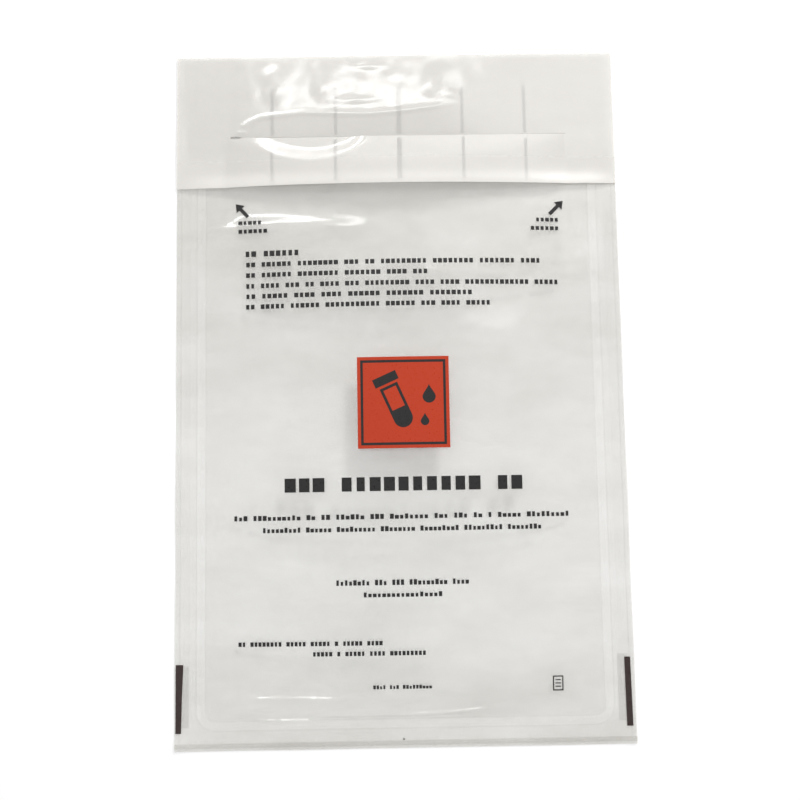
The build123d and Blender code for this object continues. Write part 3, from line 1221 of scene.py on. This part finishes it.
class BAG_OT_stage(Operator):
    """Makes the pale floor, the soft lights and the camera"""

    bl_idname = "specimen_bag.stage"
    bl_label = "Stage"

    def execute(self, context):
        scene, stage = context.scene, context.scene.bag_stage
        reach = 4.0
        corners = [(x, y, 0) for x, y in rectangle(-reach, -reach, reach, reach)]
        floor = new_object("floor", corners, [(0, 1, 2, 3)])
        floor.location.z = CAD_LOW.z - 0.05 * MM
        material, tree, shader = new_material("pale_floor")
        shader.inputs["Base Color"].default_value = (0.82, 0.82, 0.82, 1)
        shader.inputs["Roughness"].default_value = 0.9
        shader.inputs["Specular IOR Level"].default_value = 0.0
        shader.inputs["Emission Color"].default_value = (1, 1, 1, 1)
        glow = math_node(tree, "MULTIPLY", seen_or_mirrored(tree), stage.floor_glow)
        tree.links.new(glow, shader.inputs["Emission Strength"])
        floor.data.materials.append(material)

        world = bpy.data.worlds.new("white_room")
        scene.world = world
        world.use_nodes = True
        tree = world.node_tree
        background = tree.nodes["Background"]
        background.inputs["Color"].default_value = (1, 1, 1, 1)
        seen = seen_or_mirrored(tree)
        strength = math_node(tree, "MULTIPLY_ADD", seen, 1 - stage.fill, stage.fill)
        tree.links.new(strength, background.inputs["Strength"])

        for name, from_vertical, aside, aim, size in LAMPS:
            place = lamp_place(from_vertical, aside, LAMP_DISTANCE)
            soft_lamp(f"{name}_light", place, aim, size, getattr(stage, name))
        scene.cycles.transparent_max_bounces = 32

        camera_data = bpy.data.cameras.new("camera")
        camera_data.lens = stage.lens
        camera_data.sensor_width = 36
        camera = bpy.data.objects.new("camera", camera_data)
        scene.collection.objects.link(camera)
        azimuth, elevation, roll = (math.radians(angle) for angle in CAMERA_ANGLES)
        level = math.cos(elevation)
        back = Vector((math.sin(azimuth) * level, -math.cos(azimuth) * level, math.sin(elevation)))
        right = Vector((0, 0, 1)).cross(back).normalized()
        up = back.cross(right)
        rightward = right * math.cos(roll) + up * math.sin(roll)
        upward = up * math.cos(roll) - right * math.sin(roll)
        facing = Matrix((rightward, upward, back)).transposed().to_4x4()
        place = Vector(CAMERA_AIM) + back * stage.distance
        camera.matrix_world = Matrix.Translation(place) @ facing
        scene.camera = camera
        scene.view_settings.view_transform = "Standard"
        return {"FINISHED"}


OPERATORS = [BAG_OT_films, BAG_OT_adhesive, BAG_OT_backing, BAG_OT_print, BAG_OT_square, BAG_OT_guides,
             BAG_OT_edge_marks, BAG_OT_stage]
SETTINGS = {"bag_film": FilmSettings, "bag_backing": BackingSettings, "bag_print": PrintSettings,
            "bag_stage": StageSettings}


class BAG_PT_panel(Panel):
    """Lists the steps that build the bag"""

    bl_idname = "BAG_PT_panel"
    bl_label = "Specimen Bag"
    bl_space_type = "VIEW_3D"
    bl_region_type = "UI"
    bl_category = "Specimen Bag"

    def draw(self, context):
        for operator in OPERATORS:
            self.layout.operator(operator.bl_idname)
        for name, settings in SETTINGS.items():
            for prop in settings.__annotations__:
                self.layout.prop(getattr(context.scene, name), prop)


def register():
    for cls in [*SETTINGS.values(), *OPERATORS, BAG_PT_panel]:
        bpy.utils.register_class(cls)
    for name, settings in SETTINGS.items():
        setattr(bpy.types.Scene, name, PointerProperty(type=settings))


def unregister():
    for name in SETTINGS:
        delattr(bpy.types.Scene, name)
    for cls in [BAG_PT_panel, *reversed(OPERATORS), *reversed(list(SETTINGS.values()))]:
        bpy.utils.unregister_class(cls)


def main():
    register()
    for operator in OPERATORS:
        area, step = operator.bl_idname.split(".")
        getattr(getattr(bpy.ops, area), step)()


if __name__ == "__main__":
    main()
